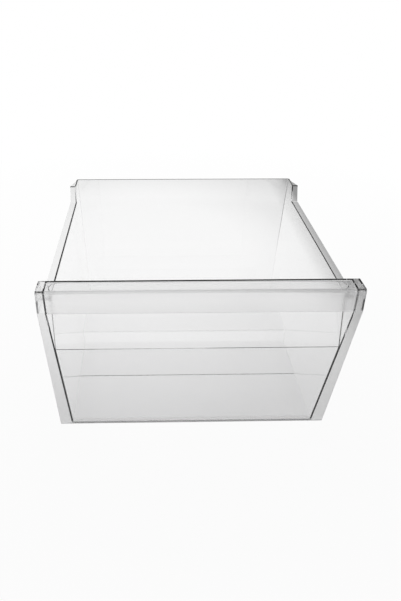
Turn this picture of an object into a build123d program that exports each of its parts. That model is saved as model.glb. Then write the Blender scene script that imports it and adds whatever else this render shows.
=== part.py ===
"""Clear moulded fridge drawer: one piece, open at the top, with a finger pocket under a hanging lip.

X runs across the drawer, Y from the front to the back and Z up. The origin is the middle of the
footprint, on the surface that the drawer stands on. All sizes are in millimetres.
"""
import math
import os

from build123d import *

# Whole drawer
front_width = 440.0  # across the front panel at its top
front_narrowing = 5.0  # how much narrower the front panel is at its foot
front_height = 274.0  # top of the front ledge
back_drop = 3.0  # top of the back wall and of the rear stops below the ledge
overall_depth = 402.0  # from the lip's lower edge to the back wall's top
wall = 2.5  # thickness of every moulded wall

# Bowl: the hollow between the walls
rim_inset = 13.0  # inside of each side wall at its rim, in from the end of the front panel
side_lean = 10.0  # how far each side wall's rim stands out from its foot
rim_drop = 29.0  # top of the side rims below the front ledge
back_lean = 30.0  # how far the back wall's top stands behind its foot
shelf_rise = 26.0  # raised rear shelf above the floor
shelf_length = 147.0  # raised rear shelf, from its front edge to the back wall
riser_lean = 2.5  # top of the shelf's riser behind its foot
fold_radius = 4.0  # rounding inside the bowl's cross folds
seam_radius = 1.0  # rounding inside the seams along the side walls
pad_start = 109.5  # front edge of the floor's thicker rear part, behind the front panel's foot
pad_rise = 1.2  # how much thicker the floor is there

# Front panel, finger pocket and hanging lip
foot_set_back = 19.0  # foot of the front panel behind the lip's lower edge
fold_height = 174.5  # fold of the front wall, from which the pocket's back leans away
crease_radius = 0.8  # rounding of that fold on both sides
bend_drop = 33.5  # bend from which the pocket's back stands upright, below the top of the ledge
bend_radius = 15.0  # rounding of that bend on the pocket's side
lip_height = 31.0  # from the lip's lower edge to the top of the ledge
lip_lean = 6.5  # front edge of the ledge behind the lip's lower edge
lip_radius = 3.5  # rounding along the front edge of the ledge
ledge_depth = 29.5  # ledge over the pocket and boxes at its ends, from front to back
ledge_radius = 3.0  # rounding along the back edge of the ledge
pocket_radius = 4.0  # rounding inside the pocket, under the front and back of the ledge

# Side rims with their rear stops, and the gussets behind the front panel
flange_width = 12.0  # rim, outwards from the inside of the side wall
flange_thickness = 2.5
stop_length = 34.5  # raised rear end of each rim
stop_ramp = 16.0  # slope that leads up to it
gusset_length = 38.0  # slope of the side wall's top behind the front panel
gusset_rise = 15.0  # how far that slope climbs

# Positions that follow from these sizes
lip_y = -overall_depth / 2
back_y = overall_depth / 2
foot_y = lip_y + foot_set_back
ledge_front_y = lip_y + lip_lean
ledge_back_y = ledge_front_y + ledge_depth
pocket_back_y = ledge_back_y - wall
back_height = front_height - back_drop
rim_height = front_height - rim_drop
lip_foot_z = front_height - lip_height
bend_height = front_height - bend_drop
fold_y = foot_y + (lip_y - foot_y) * fold_height / lip_foot_z
shelf_z = wall + shelf_rise
back_foot_y = back_y - wall - back_lean
step_y = back_foot_y - shelf_length
stop_y = back_y - stop_length
front_half = front_width / 2
front_foot_half = (front_width - front_narrowing) / 2
rim_half = front_half - rim_inset
floor_half = rim_half - side_lean
flange_outer = rim_half + flange_width
lip_angle = math.atan2(lip_lean, lip_height)
lip_wall_y = wall / math.cos(lip_angle)
pocket_front_y = ledge_front_y + lip_wall_y - wall * math.tan(lip_angle)

# Lines of the walls carried on past their ends, so that cuts run clear
above = front_height + wall
back_slope = back_lean / (back_height - shelf_z)
back_above_y = back_y - wall + back_slope * (above - back_height)
side_slope = side_lean / (rim_height - wall)
half_above = floor_half + side_slope * (above - wall)
half_below = floor_half - side_slope * wall
floor_folds_below = fold_height / 2


def inner_corner(below, corner, over):
    """Corner of a wall's inner face, one wall behind the corner of its outer face, in a side view."""
    lower_run = (Vector(*corner) - Vector(*below)).normalized()
    upper_run = (Vector(*over) - Vector(*corner)).normalized()
    inward = Vector(lower_run.Y + upper_run.Y, -lower_run.X - upper_run.X)
    return Vector(*corner) + inward * (wall / (1 + lower_run.dot(upper_run)))


def between_sides(growth):
    """Front view of the space between the side walls' inner faces, widened on each side."""
    with BuildSketch(Plane.XZ) as section:
        with BuildLine():
            Polyline(
                (-half_below - growth, 0),
                (half_below + growth, 0),
                (half_above + growth, above),
                (-half_above - growth, above),
                close=True,
            )
        make_face()
    return section.sketch


# Outer and inner corners of the front wall, from its foot to the ledge, in a side view
foot = (foot_y, 0)
fold = (fold_y, fold_height)
bend = (pocket_back_y, bend_height)
ledge_back = (pocket_back_y, front_height)
inner_fold = inner_corner(foot, fold, bend)
inner_bend = inner_corner(fold, bend, ledge_back)
under_shelf = (step_y + wall, shelf_z - wall)

# The bowl's hollow: side profile and front section meet, then its seams are rounded
with BuildPart() as hollow:
    with BuildSketch(Plane.YZ) as hollow_profile:
        with BuildLine():
            Polyline(
                (ledge_back_y, above),
                inner_bend,
                inner_fold,
                (foot_y + wall, wall),
                (step_y - riser_lean, wall),
                (step_y, shelf_z),
                (back_foot_y, shelf_z),
                (back_above_y, above),
                close=True,
            )
        make_face()
        fillet(hollow_profile.vertices().filter_by(lambda v: v.Y < floor_folds_below), radius=fold_radius)
        fillet(hollow_profile.vertices().sort_by_distance(inner_fold)[0], radius=crease_radius)
        fillet(hollow_profile.vertices().sort_by_distance(inner_bend)[0], radius=bend_radius + wall)
    extrude(amount=front_width, both=True)
    extrude(between_sides(0), amount=overall_depth, both=True, mode=Mode.INTERSECT)
    sides = hollow.faces().sort_by(Axis.X)
    seams = (sides[0].edges() + sides[-1].edges()).filter_by(lambda e: e.center().Z < above - wall / 2)
    fillet(seams, radius=seam_radius)
    with BuildSketch(Plane.XY):
        with Locations((0, (foot_y + pad_start + step_y) / 2)):
            Rectangle(front_width, step_y - foot_y - pad_start)
    extrude(amount=wall + pad_rise, mode=Mode.SUBTRACT)

# The front panel's ends, the hanging lip, the ledge and the boxes at the ledge's ends
with BuildPart() as front_panel:
    with BuildSketch(Plane.YZ):
        with BuildLine():
            panel_face = Line((foot_y, 0), (lip_y, lip_foot_z))
            offset(panel_face, amount=wall, side=Side.RIGHT)
        make_face()
    extrude(amount=front_half, both=True)
    extrude(between_sides(0), amount=overall_depth, both=True, mode=Mode.SUBTRACT)
    with BuildSketch(Plane.YZ) as lip_profile:
        with BuildLine():
            lip_face = Polyline(
                (lip_y, lip_foot_z),
                (ledge_front_y, front_height),
                (ledge_back_y, front_height),
            )
            offset(lip_face, amount=wall, side=Side.RIGHT)
        make_face()
        fillet(lip_profile.vertices().group_by(Axis.Y)[-1].sort_by(Axis.X)[0], radius=lip_radius)
    extrude(amount=front_half, both=True)
    with BuildSketch(Plane.YZ):
        with BuildLine():
            Polyline(
                (lip_y + wall / 2, lip_foot_z),
                (ledge_front_y + wall / 2, front_height - wall / 2),
                (ledge_back_y, front_height - wall / 2),
                (ledge_back_y, lip_foot_z),
                close=True,
            )
        make_face()
    extrude(amount=front_half, both=True)
    with BuildSketch(Plane.YZ):
        with BuildLine():
            Polyline(
                (lip_y + lip_wall_y, lip_foot_z),
                (pocket_front_y, front_height - wall),
                (pocket_back_y, front_height - wall),
                (pocket_back_y, lip_foot_z),
                close=True,
            )
        make_face()
    extrude(amount=front_half - wall, both=True, mode=Mode.SUBTRACT)
    with BuildSketch(Plane.XZ):
        with BuildLine():
            Polyline(
                (-front_foot_half, 0),
                (front_foot_half, 0),
                (front_half, front_height),
                (-front_half, front_height),
                close=True,
            )
        make_face()
    extrude(amount=overall_depth, both=True, mode=Mode.INTERSECT)

# Front wall below the fold and behind the pocket
with BuildPart() as front_wall:
    with BuildSketch(Plane.YZ) as front_wall_profile:
        with BuildLine():
            Polyline(
                foot,
                fold,
                bend,
                ledge_back,
                (ledge_back_y, front_height),
                inner_bend,
                inner_fold,
                (foot_y + wall, 0),
                close=True,
            )
        make_face()
        fillet(front_wall_profile.vertices().sort_by_distance(fold)[0], radius=crease_radius)
        fillet(front_wall_profile.vertices().sort_by_distance(bend)[0], radius=bend_radius)
    extrude(amount=front_half, both=True)
    extrude(between_sides(wall / 2), amount=overall_depth, both=True, mode=Mode.INTERSECT)

# Both ends of the finger pocket: the side walls, carried on forwards to the front panel and the lip
with BuildPart() as pocket_ends:
    with BuildSketch(Plane.YZ):
        with BuildLine():
            Polyline(
                (fold_y + wall / 2, fold_height),
                (lip_y + wall / 2, lip_foot_z),
                (ledge_front_y + wall / 2, front_height - wall / 2),
                (ledge_back_y - wall / 2, front_height - wall / 2),
                (ledge_back_y - wall / 2, bend_height),
                close=True,
            )
        make_face()
    extrude(amount=front_width, both=True)
    extrude(between_sides(wall), amount=overall_depth, both=True, mode=Mode.INTERSECT)
    extrude(between_sides(0), amount=overall_depth, both=True, mode=Mode.SUBTRACT)

# One side rim, raised into a stop at its rear end, whose outer edge runs in to the back corner
with BuildPart() as side_rim:
    with BuildSketch(Plane.YZ.offset(rim_half + wall / 2)):
        with BuildLine():
            rim_top = Polyline(
                (pocket_back_y, rim_height),
                (stop_y - stop_ramp, rim_height),
                (stop_y, back_height),
                (back_y, back_height),
            )
            offset(rim_top, amount=flange_thickness, side=Side.RIGHT)
        make_face()
    extrude(amount=flange_width - wall / 2)
    with BuildSketch(Plane.XY):
        with BuildLine():
            Polyline(
                (flange_outer, stop_y),
                (flange_outer + wall, stop_y),
                (flange_outer + wall, back_y + wall),
                (rim_half, back_y),
                close=True,
            )
        make_face()
    extrude(amount=front_height, mode=Mode.SUBTRACT)

with BuildPart() as drawer:
    # Outer skin of the bowl, from the middle of the front wall backwards
    with BuildSketch(Plane.YZ) as skin_profile:
        with BuildLine():
            Polyline(
                (ledge_back_y - wall / 2, front_height),
                (ledge_back_y - wall / 2, bend_height),
                (fold_y + wall / 2, fold_height),
                (foot_y + wall / 2, 0),
                (step_y - riser_lean + wall, 0),
                under_shelf,
                (back_foot_y + wall - back_slope * wall, shelf_z - wall),
                (back_y + back_slope * (front_height - back_height), front_height),
                close=True,
            )
        make_face()
        skin_corners = skin_profile.vertices().filter_by(lambda v: v.Y < floor_folds_below)
        under_corners = skin_corners.filter_by(lambda v: v.X > foot_y + wall).sort_by(Axis.X)
        fillet([under_corners[0], under_corners[-1]], radius=fold_radius + wall)
        fillet(skin_profile.vertices().sort_by_distance(under_shelf)[0], radius=fold_radius - wall)
    extrude(amount=front_width, both=True)
    extrude(between_sides(wall), amount=overall_depth, both=True, mode=Mode.INTERSECT)
    skin_sides = drawer.faces().sort_by(Axis.X)
    skin_edges = skin_sides[0].edges() + skin_sides[-1].edges()
    outer_seams = skin_edges.filter_by(
        lambda e: e.center().Y > ledge_back_y and e.center().Z < front_height - wall
    )
    fillet(outer_seams, radius=seam_radius + wall)
    add(front_wall.part)
    add(front_panel.part)
    add(pocket_ends.part)
    add(hollow.part, mode=Mode.SUBTRACT)

    # Top of the side walls: gusset, rim and rear stop
    with BuildSketch(Plane.YZ):
        with BuildLine():
            Polyline(
                (ledge_back_y, above),
                (ledge_back_y, rim_height + gusset_rise),
                (ledge_back_y + gusset_length, rim_height),
                (stop_y - stop_ramp, rim_height),
                (stop_y, back_height),
                (back_y + wall, back_height),
                (back_y + wall, above),
                close=True,
            )
        make_face()
    extrude(amount=front_width, both=True, mode=Mode.SUBTRACT)
    cross_edges = drawer.edges().filter_by(Axis.X)
    ledge_edge = cross_edges.sort_by_distance((0, ledge_back_y, front_height))[0]
    pocket_edges = [
        cross_edges.sort_by_distance((0, y, front_height - wall))[0]
        for y in (pocket_front_y, pocket_back_y)
    ]
    fillet(pocket_edges, radius=pocket_radius)
    fillet(ledge_edge, radius=ledge_radius)
    add(side_rim.part)
    add(mirror(side_rim.part, about=Plane.YZ))

drawer.part.label = "drawer"
os.makedirs("parts", exist_ok=True)
export_step(drawer.part, "parts/drawer.step")
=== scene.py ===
import math

import bpy
import numpy as np
from mathutils import Matrix, Vector


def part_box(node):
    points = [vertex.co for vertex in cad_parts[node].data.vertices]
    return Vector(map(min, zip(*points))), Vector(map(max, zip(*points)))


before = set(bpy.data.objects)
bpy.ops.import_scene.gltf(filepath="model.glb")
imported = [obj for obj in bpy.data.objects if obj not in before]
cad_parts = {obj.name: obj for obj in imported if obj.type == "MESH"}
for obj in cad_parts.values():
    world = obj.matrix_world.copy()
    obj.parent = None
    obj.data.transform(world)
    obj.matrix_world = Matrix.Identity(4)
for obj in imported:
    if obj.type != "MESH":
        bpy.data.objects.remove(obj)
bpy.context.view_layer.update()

# The drawer: one injection moulding of clear polystyrene, open at the top. Its walls come polished out of
# the mould, with faint flow marks and fine scuffs. Grained patches of the mould frost the front of the
# hanging lip and the panel's wings. Use has dulled the lip's rounded top edge and the foot.
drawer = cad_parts["drawer"]
low_corner, high_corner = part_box("drawer")

# Sizes of the moulding that its finishes follow, and of the finished places, in metres
lip_height = 0.031
lip_lean = 0.0065
edge_radius = 0.003
front_depth = 0.03
wing_width = 0.0105
rim_height = 0.245
side_lean = 0.01
foot_set_back = 0.019
frost_depth = 0.0006
worn_reach = 0.012
worn_height = 0.0022

# How rough each finish is, how fine its marks are, and how high the flow waves and the grain stand
polished_roughness = 0.02
scuffed_roughness = 0.09
frosted_roughness = 0.32
worn_roughness = 0.6
handled_roughness = 0.6
scuff_patches_per_metre = 14.0
scuff_patch_detail = 4.0
scuff_onset = (0.5, 0.75)
scuff_marks_per_metre = 420.0
scuff_mark_detail = 2.0
flow_waves_per_metre = 22.0
flow_wave_detail = 1.0
flow_wave_height = 0.00008
grains_per_metre = 2400.0
grain_detail = 2.0
grain_height = 0.00006
relief_strength = 0.6
heights_in_metres = 1.0

# The clear plastic: how it bends light, and the faint grey of its depth and of its shadow
polystyrene_ior = 1.58
clear_colour = (1.0, 1.0, 1.0, 1.0)
shadow_tint = (0.98, 0.98, 0.982, 1.0)
body_tint = (0.30, 0.30, 0.32, 1.0)
body_density = 6.0


def blank_material(name):
    """A new material whose node tree is empty."""
    material = bpy.data.materials.new(name)
    material.use_nodes = True
    material.node_tree.nodes.clear()
    return material


def object_place(tree):
    """The place of a point in the piece's own frame, as one vector and as its three coordinates."""
    vector = tree.nodes.new("ShaderNodeTexCoord").outputs["Object"]
    split = tree.nodes.new("ShaderNodeSeparateXYZ")
    tree.links.new(vector, split.inputs["Vector"])
    return vector, split.outputs


def math_node(tree, operation, first, second=0.0, third=0.0):
    """One step of arithmetic on sockets or numbers, in the order that the operation takes them."""
    node = tree.nodes.new("ShaderNodeMath")
    node.operation = operation
    for socket, value in zip(node.inputs, (first, second, third)):
        if isinstance(value, bpy.types.NodeSocket):
            tree.links.new(value, socket)
        else:
            socket.default_value = value
    return node.outputs["Value"]


def noise_node(tree, vector, scale, detail):
    """Smooth noise between 0 and 1 at a scale given in cells per metre."""
    node = tree.nodes.new("ShaderNodeTexNoise")
    node.inputs["Scale"].default_value = scale
    node.inputs["Detail"].default_value = detail
    tree.links.new(vector, node.inputs["Vector"])
    return node.outputs["Fac"]


def range_node(tree, value, source, target):
    """Carry a value from one range to another, held at both ends."""
    node = tree.nodes.new("ShaderNodeMapRange")
    tree.links.new(value, node.inputs["Value"])
    for name, number in zip(("From Min", "From Max", "To Min", "To Max"), (*source, *target)):
        if isinstance(number, bpy.types.NodeSocket):
            tree.links.new(number, node.inputs[name])
        else:
            node.inputs[name].default_value = number
    return node.outputs["Result"]


def share_node(tree, share, at_none, at_full):
    """Go from one value to another as a share goes from 0 to 1."""
    return range_node(tree, share, (0.0, 1.0), (at_none, at_full))


def mix_shaders(tree, share, first, second):
    """Show the second shader by a share between 0 and 1, and the first for the rest."""
    node = tree.nodes.new("ShaderNodeMixShader")
    tree.links.new(share, node.inputs["Fac"])
    tree.links.new(first, node.inputs[1])
    tree.links.new(second, node.inputs[2])
    return node.outputs["Shader"]


plastic = blank_material("clear_plastic")
tree = plastic.node_tree
place, axis = object_place(tree)

# The frosted front of the lip is a thin layer behind its leaning face
up_the_lip = math_node(tree, "SUBTRACT", axis["Z"], high_corner.z - lip_height)
face_y = math_node(tree, "MULTIPLY_ADD", up_the_lip, lip_lean / lip_height, low_corner.y)
behind_face = math_node(tree, "SUBTRACT", axis["Y"], face_y)
near_face = math_node(tree, "LESS_THAN", behind_face, frost_depth)
on_lip = math_node(tree, "GREATER_THAN", up_the_lip, 0.0)
lip_front = math_node(tree, "MULTIPLY", near_face, on_lip)

# The wings of the front panel, below the lip and outside the leaning side walls, are frosted too
below_rim = math_node(tree, "SUBTRACT", rim_height, axis["Z"])
side_x = math_node(tree, "MULTIPLY_ADD", below_rim, -side_lean / rim_height, high_corner.x - wing_width)
outside_wall = math_node(tree, "GREATER_THAN", math_node(tree, "ABSOLUTE", axis["X"]), side_x)
in_front = math_node(tree, "LESS_THAN", axis["Y"], low_corner.y + front_depth)
below_lip = math_node(tree, "LESS_THAN", up_the_lip, 0.0)
wings = math_node(tree, "MULTIPLY", outside_wall, math_node(tree, "MULTIPLY", in_front, below_lip))
frosted = math_node(tree, "MAXIMUM", lip_front, wings)

# Scuffs: patches where handling has dulled the polish, broken up by a finer noise
patches = noise_node(tree, place, scuff_patches_per_metre, scuff_patch_detail)
marks = noise_node(tree, place, scuff_marks_per_metre, scuff_mark_detail)
scuffed = math_node(tree, "MULTIPLY", range_node(tree, patches, scuff_onset, (0.0, 1.0)), marks)
polish = share_node(tree, scuffed, polished_roughness, scuffed_roughness)
roughness = share_node(tree, frosted, polish, frosted_roughness)

# The front edge of the foot is dulled where it slides on a shelf
near_floor = math_node(tree, "LESS_THAN", axis["Z"], low_corner.z + worn_height)
near_foot = math_node(tree, "LESS_THAN", axis["Y"], low_corner.y + foot_set_back + worn_reach)
worn = math_node(tree, "MULTIPLY", near_floor, near_foot)
roughness = share_node(tree, worn, roughness, worn_roughness)

# The rounded top edge of the lip is dulled where it is gripped
near_edge = math_node(tree, "LESS_THAN", behind_face, edge_radius)
near_top = math_node(tree, "GREATER_THAN", axis["Z"], high_corner.z - edge_radius)
handled = math_node(tree, "MULTIPLY", near_edge, near_top)
roughness = share_node(tree, handled, roughness, handled_roughness)

# Relief: long faint waves of the flowing melt, and the grain of the frosted places
waves = noise_node(tree, place, flow_waves_per_metre, flow_wave_detail)
grain = noise_node(tree, place, grains_per_metre, grain_detail)
frost_grain = math_node(tree, "MULTIPLY", grain, math_node(tree, "MULTIPLY", frosted, grain_height))
relief = math_node(tree, "MULTIPLY_ADD", waves, flow_wave_height, frost_grain)
bump = tree.nodes.new("ShaderNodeBump")
bump.inputs["Strength"].default_value = relief_strength
bump.inputs["Distance"].default_value = heights_in_metres
tree.links.new(relief, bump.inputs["Height"])

# The body bends what is seen through it, and lets the light that falls on the paper pass straight through
body = tree.nodes.new("ShaderNodeBsdfPrincipled")
body.inputs["Base Color"].default_value = clear_colour
body.inputs["IOR"].default_value = polystyrene_ior
body.inputs["Transmission Weight"].default_value = 1.0
tree.links.new(roughness, body.inputs["Roughness"])
tree.links.new(bump.outputs["Normal"], body.inputs["Normal"])
light_passes = tree.nodes.new("ShaderNodeBsdfTransparent")
light_passes.inputs["Color"].default_value = shadow_tint
ray = tree.nodes.new("ShaderNodeLightPath").outputs
lights_paper = math_node(tree, "MAXIMUM", ray["Is Shadow Ray"], ray["Is Diffuse Ray"])
surface = mix_shaders(tree, lights_paper, body.outputs["BSDF"], light_passes.outputs["BSDF"])
depth_tint = tree.nodes.new("ShaderNodeVolumeAbsorption")
depth_tint.inputs["Color"].default_value = body_tint
depth_tint.inputs["Density"].default_value = body_density
out = tree.nodes.new("ShaderNodeOutputMaterial")
tree.links.new(surface, out.inputs["Surface"])
tree.links.new(depth_tint.outputs["Volume"], out.inputs["Volume"])
drawer.material_slots[0].material = plastic

# The studio floor: a wide sheet of white paper, a hair below the drawer's underside. It shows white to the
# camera. Mirrored in the plastic or seen through it, it keeps more of its lit colour and of the shadow, and
# painted shade darkens its white to the right. Seen through the plastic it also shows a painted pool of
# light behind the drawer, and far away its white comes back.
floor_half = 14.0
floor_gap = 0.0005
paper_colour = (0.9, 0.9, 0.9, 1.0)
fibre_colour = (0.88, 0.88, 0.88, 1.0)
fibres_per_metre = 60.0
fibre_detail = 6.0
floor_middle = (0.0, 0.0, 0.0)
near_reach = (0.3, 1.2)
far_reach = (0.95, 1.25)
# The centre and reach of a painted pool of light on the paper behind the drawer
painted_pool_place = (-0.08, 0.42, 0.0)
painted_pool_reach = (0.26, 0.74)
# Where painted shade on the paper's right side begins and ends
painted_shade_span = (0.335, 0.405)
white_near = 0.92
# The white that the painted pool of light reaches at its centre
painted_pool_white = 0.9
white_mirrored = 0.25
# How much painted shade lies on the paper's right side, and how dark it is
painted_shade_share = 0.7
painted_shade_tone = 0.2


def distance_node(tree, vector, centre):
    """How far each place is from a centre, in metres."""
    node = tree.nodes.new("ShaderNodeVectorMath")
    node.operation = "DISTANCE"
    tree.links.new(vector, node.inputs[0])
    node.inputs[1].default_value = centre
    return node.outputs["Value"]


floor_mesh = bpy.data.meshes.new("studio_floor")
floor_corners = floor_half * np.array([(-1, -1, 0), (1, -1, 0), (1, 1, 0), (-1, 1, 0)])
floor_corners[:, 2] = -floor_gap
floor_mesh.from_pydata(floor_corners.tolist(), [], [(0, 1, 2, 3)])
floor = bpy.data.objects.new("studio_floor", floor_mesh)
bpy.context.scene.collection.objects.link(floor)

paper = blank_material("white_paper")
tree = paper.node_tree
place, axis = object_place(tree)
ray = tree.nodes.new("ShaderNodeLightPath").outputs
from_middle = distance_node(tree, place, floor_middle)
from_painted_pool = distance_node(tree, place, painted_pool_place)
far = range_node(tree, from_middle, far_reach, (0.0, 1.0))

# The paper as the lamp lights it, faintly mottled by its fibres
sheet_colour = tree.nodes.new("ShaderNodeMix")
sheet_colour.data_type = "RGBA"
sheet_colour.inputs["A"].default_value = paper_colour
sheet_colour.inputs["B"].default_value = fibre_colour
tree.links.new(noise_node(tree, place, fibres_per_metre, fibre_detail), sheet_colour.inputs["Factor"])
lit_paper = tree.nodes.new("ShaderNodeBsdfDiffuse")
tree.links.new(sheet_colour.outputs["Result"], lit_paper.inputs["Color"])

# The paper's white. Near the drawer, painted shade darkens it to the right, except to the camera
white = tree.nodes.new("ShaderNodeEmission")
painted_shade_strength = range_node(tree, axis["X"], painted_shade_span, (1.0, painted_shade_tone))
full_white = math_node(tree, "MAXIMUM", ray["Is Camera Ray"], far)
tree.links.new(math_node(tree, "MAXIMUM", full_white, painted_shade_strength), white.inputs["Strength"])

# How much of that white each kind of ray sees
seen_directly = range_node(tree, from_middle, near_reach, (white_near, 1.0))
seen_directly = math_node(tree, "MULTIPLY", ray["Is Camera Ray"], seen_directly)
# A painted pool of light behind the drawer, seen through the plastic
painted_pool_light = range_node(tree, from_painted_pool, painted_pool_reach, (painted_pool_white, 0.0))
# Painted shade that darkens the paper to the right, seen through the plastic
painted_shade_mix = range_node(tree, axis["X"], painted_shade_span, (0.0, painted_shade_share))
seen_through = math_node(tree, "MAXIMUM", math_node(tree, "MAXIMUM", painted_pool_light, painted_shade_mix), far)
seen_through = math_node(tree, "MULTIPLY", ray["Is Transmission Ray"], seen_through)
mirrored = math_node(tree, "MAXIMUM", white_mirrored, far)
mirrored = math_node(tree, "MULTIPLY", ray["Is Glossy Ray"], mirrored)
white_share = math_node(tree, "MAXIMUM", seen_directly, math_node(tree, "MAXIMUM", seen_through, mirrored))
surface = mix_shaders(tree, white_share, lit_paper.outputs["BSDF"], white.outputs["Emission"])
out = tree.nodes.new("ShaderNodeOutputMaterial")
tree.links.new(surface, out.inputs["Surface"])
floor_mesh.materials.append(paper)

# The room: bright behind the drawer, dim in front, and dimmer to the right, so that the plastic's level
# faces mirror the bright side and its edges have something dark to show. The camera sees it white, and the
# plastic shows it white near the horizon.
front_tone = 0.25
rear_tone = 0.75
right_share = 0.2
horizon_white = 0.8
horizon_reach = (0.12, 0.45)
axis_span = (-1.0, 1.0)
room = bpy.data.worlds.new("room")
bpy.context.scene.world = room
room.use_nodes = True
tree = room.node_tree
direction = tree.nodes.new("ShaderNodeSeparateXYZ")
tree.links.new(tree.nodes.new("ShaderNodeTexCoord").outputs["Generated"], direction.inputs["Vector"])
depth_tone = range_node(tree, direction.outputs["Y"], axis_span, (front_tone, rear_tone))
side_share = range_node(tree, direction.outputs["X"], axis_span, (1.0, right_share))
room_tone = math_node(tree, "MULTIPLY", depth_tone, side_share)
ray = tree.nodes.new("ShaderNodeLightPath").outputs
horizon = range_node(tree, direction.outputs["Z"], horizon_reach, (horizon_white, 0.0))
in_plastic = math_node(tree, "MAXIMUM", ray["Is Transmission Ray"], ray["Is Glossy Ray"])
white_horizon = math_node(tree, "MULTIPLY", in_plastic, horizon)
white_share = math_node(tree, "MAXIMUM", ray["Is Camera Ray"], white_horizon)
tree.links.new(share_node(tree, white_share, room_tone, 1.0), tree.nodes["Background"].inputs["Color"])

# The lamp: one square softbox above and behind the drawer. It is unturned, so it shines straight down and
# leaves a pool of light on the paper there. The plastic neither mirrors it nor shows it.
lamp_place = (-0.1, 0.45, 1.1)
lamp_side = 1.0
lamp_watts = 9.0
lamp = bpy.data.lights.new("rear_softbox", "AREA")
lamp.size = lamp_side
lamp.energy = lamp_watts
lamp_holder = bpy.data.objects.new("rear_softbox", lamp)
bpy.context.scene.collection.objects.link(lamp_holder)
lamp_holder.location = lamp_place
lamp_holder.visible_glossy = False
lamp_holder.visible_transmission = False

# The camera: it looks down on the drawer's front from a little to the left of its middle. Its place, turn
# and focal length were fitted to the photograph's straight edges. Lengths in the picture are in pixels.
camera_place = Vector((-0.0687, -0.7218, 0.6387))
camera_pitch = math.radians(35.67)
camera_yaw = math.radians(1.14)
camera_roll = math.radians(-0.17)
level_look = math.radians(90.0)
focal_pixels = 486.78
frame_pixels = (401, 601)
principal_pixels = (157.57, 300.0)
lens = bpy.data.cameras.new("camera")
lens.lens = lens.sensor_width * focal_pixels / max(frame_pixels)
lens.shift_x = (frame_pixels[0] / 2 - principal_pixels[0]) / max(frame_pixels)
lens.shift_y = (principal_pixels[1] - frame_pixels[1] / 2) / max(frame_pixels)
camera = bpy.data.objects.new("camera", lens)
bpy.context.scene.collection.objects.link(camera)
turn = Matrix.Rotation(-camera_yaw, 4, "Z")
turn = turn @ Matrix.Rotation(level_look - camera_pitch, 4, "X")
turn = turn @ Matrix.Rotation(-camera_roll, 4, "Z")
camera.matrix_world = Matrix.Translation(camera_place) @ turn
bpy.context.scene.camera = camera
bpy.context.scene.view_settings.view_transform = "Standard"
